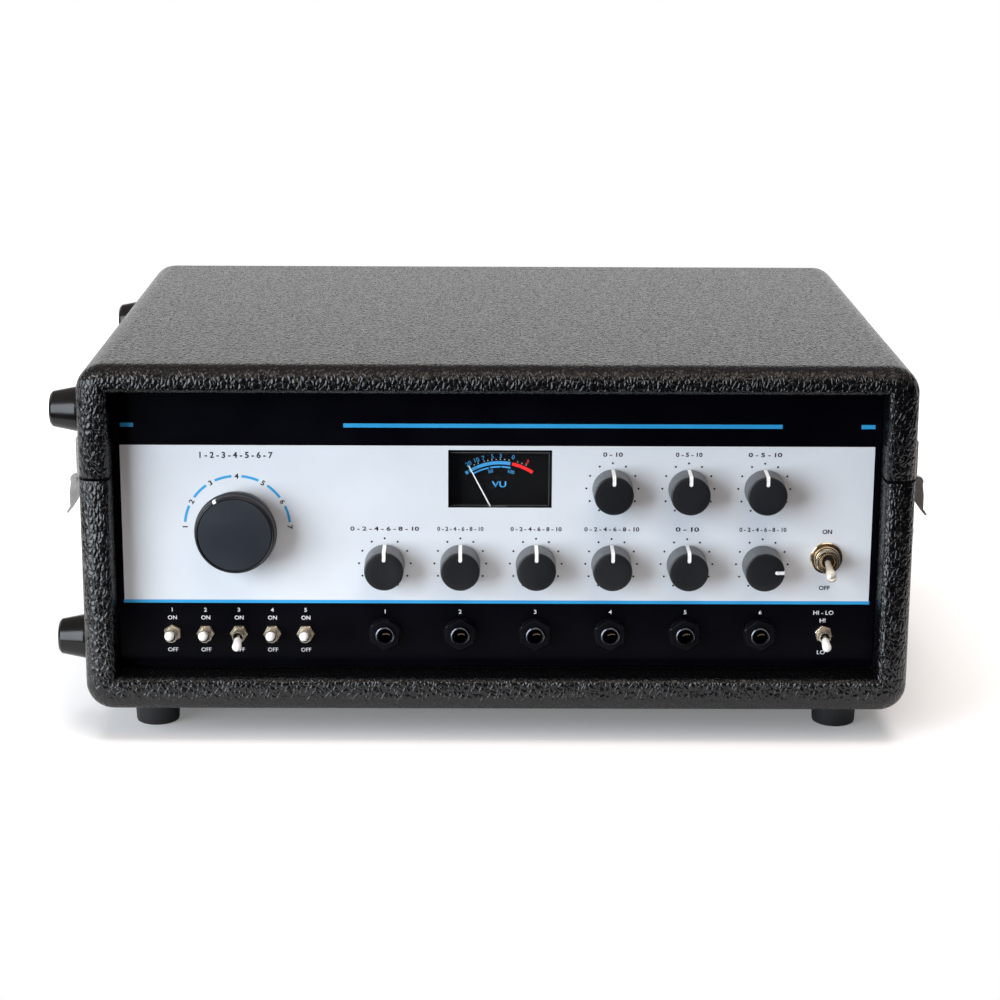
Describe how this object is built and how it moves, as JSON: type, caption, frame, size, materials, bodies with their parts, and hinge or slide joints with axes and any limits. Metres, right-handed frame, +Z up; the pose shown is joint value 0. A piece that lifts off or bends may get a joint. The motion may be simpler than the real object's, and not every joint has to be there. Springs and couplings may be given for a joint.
{
  "type": "tape echo unit",
  "caption": "Tape echo unit in a vinyl-covered case with a hinged lid, a control panel with knobs, switches, sockets and a level meter, and a tape transport under the lid.",
  "frame": {"origin": "middle of the box round the unit at the plane that its four base feet stand on", "axes": "+X to the right as seen by its user, along its longest side; -Y out of the control panel; +Z up"},
  "size_m": [0.4578, 0.3317, 0.197],
  "materials": {
    "case_vinyl": "black vinyl with a coarse leather grain, glued over plywood",
    "foot_rubber": "smooth black rubber",
    "panel_paint": "silver lacquer with black bands and blue lines",
    "knob_plastic": "charcoal moulded plastic, white pointer line",
    "socket_plastic": "black moulded body and barrel, nut and washer",
    "switch_nickel": "bright nickel plate",
    "lever_white": "white sleeve on a small bat lever",
    "switch_body": "moulded switch body with a nickel barrel",
    "pot_metal": "zinc plated cans and bushes",
    "meter_case": "black moulding",
    "meter_card": "black card with a light scale, blue below and red above",
    "meter_glass": "clear pane",
    "needle_black": "light pointer on a dark hub",
    "chassis_zinc": "zinc plated sheet",
    "deck_grey": "grey enamel on steel",
    "head_steel": "polished head faces in plated cans",
    "motor_can": "grey enamelled can",
    "arm_steel": "plated pressed steel",
    "roller_rubber": "ground rubber tyre",
    "bin_plastic": "black moulded tray",
    "cover_clear": "clear acrylic sheet",
    "screw_brass": "turned and knurled",
    "tape_brown": "oxide coated tape",
    "transformer_iron": "varnished laminations and coil",
    "board_green": "glass fibre board with parts",
    "rear_plate": "satin black steel",
    "inlet_black": "black moulding with three plated blades",
    "fitting_nickel": "polished nickel on pressed steel",
    "handle_black": "moulded black strap",
    "cap_black": "black moulded end caps"
  },
  "bodies": {
    "case": {"lower_case": "case_vinyl", "base_feet": "foot_rubber", "side_feet_lower": "foot_rubber", "front_panel": "panel_paint", "potentiometers": "pot_metal", "jack_sockets": "socket_plastic", "jack_nuts": "socket_plastic", "switch_bodies": "switch_body", "switch_nuts": "switch_nickel", "meter_housing": "meter_case", "meter_dial": "meter_card", "meter_window": "meter_glass", "chassis_tray": "chassis_zinc", "deck_plate": "deck_grey", "capstan_motor": "motor_can", "head_mount": "deck_grey", "tape_heads": "head_steel", "pinch_solenoid": "motor_can", "tape_tray": "bin_plastic", "tape_cover": "cover_clear", "cover_screws": "screw_brass", "tape_loop": "tape_brown", "power_transformer": "transformer_iron", "reverb_tank": "chassis_zinc", "main_board": "board_green", "rear_panel": "rear_plate", "mains_inlet": "inlet_black", "hinge_leaves_lower": "fitting_nickel", "handle_caps": "cap_black", "latch_bases": "fitting_nickel"},
    "lid": {"lid_shell": "case_vinyl", "side_feet_upper": "foot_rubber", "hinge_leaves_upper": "fitting_nickel", "latch_strikes": "fitting_nickel"},
    "latch_lever_left": {"latch_lever_left": "fitting_nickel"},
    "latch_claw_left": {"latch_claw_left": "fitting_nickel"},
    "latch_lever_right": {"latch_lever_right": "fitting_nickel"},
    "latch_claw_right": {"latch_claw_right": "fitting_nickel"},
    "knob_lower_1": {"knob_lower_1": "knob_plastic"},
    "knob_lower_2": {"knob_lower_2": "knob_plastic"},
    "knob_lower_3": {"knob_lower_3": "knob_plastic"},
    "knob_lower_4": {"knob_lower_4": "knob_plastic"},
    "knob_lower_5": {"knob_lower_5": "knob_plastic"},
    "knob_lower_6": {"knob_lower_6": "knob_plastic"},
    "knob_upper_1": {"knob_upper_1": "knob_plastic"},
    "knob_upper_2": {"knob_upper_2": "knob_plastic"},
    "knob_upper_3": {"knob_upper_3": "knob_plastic"},
    "mode_knob": {"mode_knob": "knob_plastic"},
    "toggle_lever_1": {"toggle_lever_1": "switch_nickel"},
    "toggle_lever_2": {"toggle_lever_2": "switch_nickel"},
    "toggle_lever_3": {"toggle_lever_3": "lever_white"},
    "toggle_lever_4": {"toggle_lever_4": "switch_nickel"},
    "toggle_lever_5": {"toggle_lever_5": "switch_nickel"},
    "level_lever": {"level_lever": "lever_white"},
    "power_lever": {"power_lever": "switch_nickel"},
    "meter_needle": {"meter_needle": "needle_black"},
    "capstan": {"capstan_flywheel": "head_steel"},
    "pinch_arm": {"pinch_arm": "arm_steel"},
    "pinch_roller": {"pinch_roller": "roller_rubber"},
    "handle": {"handle_strap": "handle_black"}
  },
  "joints": [
    {"name": "lid_hinge", "type": "hinge", "parent": "case", "child": "lid", "pos_m": [0, 0.1634, 0.1392], "axis": [-1, 0, 0], "range_deg": [0, 95]},
    {"name": "latch_left", "type": "hinge", "parent": "case", "child": "latch_lever_left", "pos_m": [-0.215, -0.121, 0.133], "axis": [0, 1, 0], "range_deg": [0, 80]},
    {"name": "claw_left", "type": "hinge", "parent": "latch_lever_left", "child": "latch_claw_left", "pos_m": [-0.21405, -0.121, 0.12758], "axis": [0, 1, 0], "range_deg": [-100, 0]},
    {"name": "latch_right", "type": "hinge", "parent": "case", "child": "latch_lever_right", "pos_m": [0.215, -0.121, 0.133], "axis": [0, -1, 0], "range_deg": [0, 80]},
    {"name": "claw_right", "type": "hinge", "parent": "latch_lever_right", "child": "latch_claw_right", "pos_m": [0.21405, -0.121, 0.12758], "axis": [0, -1, 0], "range_deg": [-100, 0]},
    {"name": "knob_lower_1_turn", "type": "hinge", "parent": "case", "child": "knob_lower_1", "pos_m": [-0.0573, -0.14225, 0.0915], "axis": [0, 1, 0], "range_deg": [-150, 150]},
    {"name": "knob_lower_2_turn", "type": "hinge", "parent": "case", "child": "knob_lower_2", "pos_m": [-0.0188, -0.14225, 0.0915], "axis": [0, 1, 0], "range_deg": [-150, 150]},
    {"name": "knob_lower_3_turn", "type": "hinge", "parent": "case", "child": "knob_lower_3", "pos_m": [0.0197, -0.14225, 0.0915], "axis": [0, 1, 0], "range_deg": [-150, 150]},
    {"name": "knob_lower_4_turn", "type": "hinge", "parent": "case", "child": "knob_lower_4", "pos_m": [0.0582, -0.14225, 0.0915], "axis": [0, 1, 0], "range_deg": [-150, 150]},
    {"name": "knob_lower_5_turn", "type": "hinge", "parent": "case", "child": "knob_lower_5", "pos_m": [0.0967, -0.14225, 0.0915], "axis": [0, 1, 0], "range_deg": [-150, 150]},
    {"name": "knob_lower_6_turn", "type": "hinge", "parent": "case", "child": "knob_lower_6", "pos_m": [0.1352, -0.14225, 0.0915], "axis": [0, 1, 0], "range_deg": [-240, 60]},
    {"name": "knob_upper_1_turn", "type": "hinge", "parent": "case", "child": "knob_upper_1", "pos_m": [0.0582, -0.14225, 0.1312], "axis": [0, 1, 0], "range_deg": [-150, 150]},
    {"name": "knob_upper_2_turn", "type": "hinge", "parent": "case", "child": "knob_upper_2", "pos_m": [0.0967, -0.14225, 0.1312], "axis": [0, 1, 0], "range_deg": [-150, 150]},
    {"name": "knob_upper_3_turn", "type": "hinge", "parent": "case", "child": "knob_upper_3", "pos_m": [0.1352, -0.14225, 0.1312], "axis": [0, 1, 0], "range_deg": [-150, 150]},
    {"name": "mode_knob_turn", "type": "hinge", "parent": "case", "child": "mode_knob", "pos_m": [-0.132, -0.14225, 0.1105], "axis": [0, 1, 0], "range_deg": [-60, 120]},
    {"name": "toggle_lever_1_throw", "type": "hinge", "parent": "case", "child": "toggle_lever_1", "pos_m": [-0.1665, -0.14445, 0.054], "axis": [1, 0, 0], "range_deg": [0, 25]},
    {"name": "toggle_lever_2_throw", "type": "hinge", "parent": "case", "child": "toggle_lever_2", "pos_m": [-0.1494, -0.14445, 0.054], "axis": [1, 0, 0], "range_deg": [0, 25]},
    {"name": "toggle_lever_3_throw", "type": "hinge", "parent": "case", "child": "toggle_lever_3", "pos_m": [-0.1323, -0.14445, 0.054], "axis": [1, 0, 0], "range_deg": [-25, 0]},
    {"name": "toggle_lever_4_throw", "type": "hinge", "parent": "case", "child": "toggle_lever_4", "pos_m": [-0.1152, -0.14445, 0.054], "axis": [1, 0, 0], "range_deg": [0, 25]},
    {"name": "toggle_lever_5_throw", "type": "hinge", "parent": "case", "child": "toggle_lever_5", "pos_m": [-0.0981, -0.14445, 0.054], "axis": [1, 0, 0], "range_deg": [0, 25]},
    {"name": "level_lever_throw", "type": "hinge", "parent": "case", "child": "level_lever", "pos_m": [0.168, -0.14445, 0.0545], "axis": [1, 0, 0], "range_deg": [-25, 0]},
    {"name": "power_lever_throw", "type": "hinge", "parent": "case", "child": "power_lever", "pos_m": [0.168, -0.14425, 0.095], "axis": [1, 0, 0], "range_deg": [-25, 0]},
    {"name": "meter_needle_swing", "type": "hinge", "parent": "case", "child": "meter_needle", "pos_m": [0.00125, -0.14025, 0.111], "axis": [0, 1, 0], "range_deg": [0, 55.2]},
    {"name": "capstan_spin", "type": "hinge", "parent": "case", "child": "capstan", "pos_m": [0.092, -0.06355, 0.135], "axis": [0, 0, 1], "continuous": true},
    {"name": "pinch_arm_swing", "type": "hinge", "parent": "case", "child": "pinch_arm", "pos_m": [0.125, -0.089, 0.135], "axis": [0, 0, -1], "range_deg": [0, 14]},
    {"name": "pinch_roller_spin", "type": "hinge", "parent": "pinch_arm", "child": "pinch_roller", "pos_m": [0.08995, -0.08482, 0.135], "axis": [0, 0, 1], "continuous": true},
    {"name": "handle_lift", "type": "slide", "parent": "case", "child": "handle", "axis": [1, 0, 0], "range_m": [0, 0.003]}
  ],
  "couplings": [
    {"joint": "claw_left", "follows": "latch_left", "ratio": -1.25},
    {"joint": "claw_right", "follows": "latch_right", "ratio": -1.25}
  ]
}
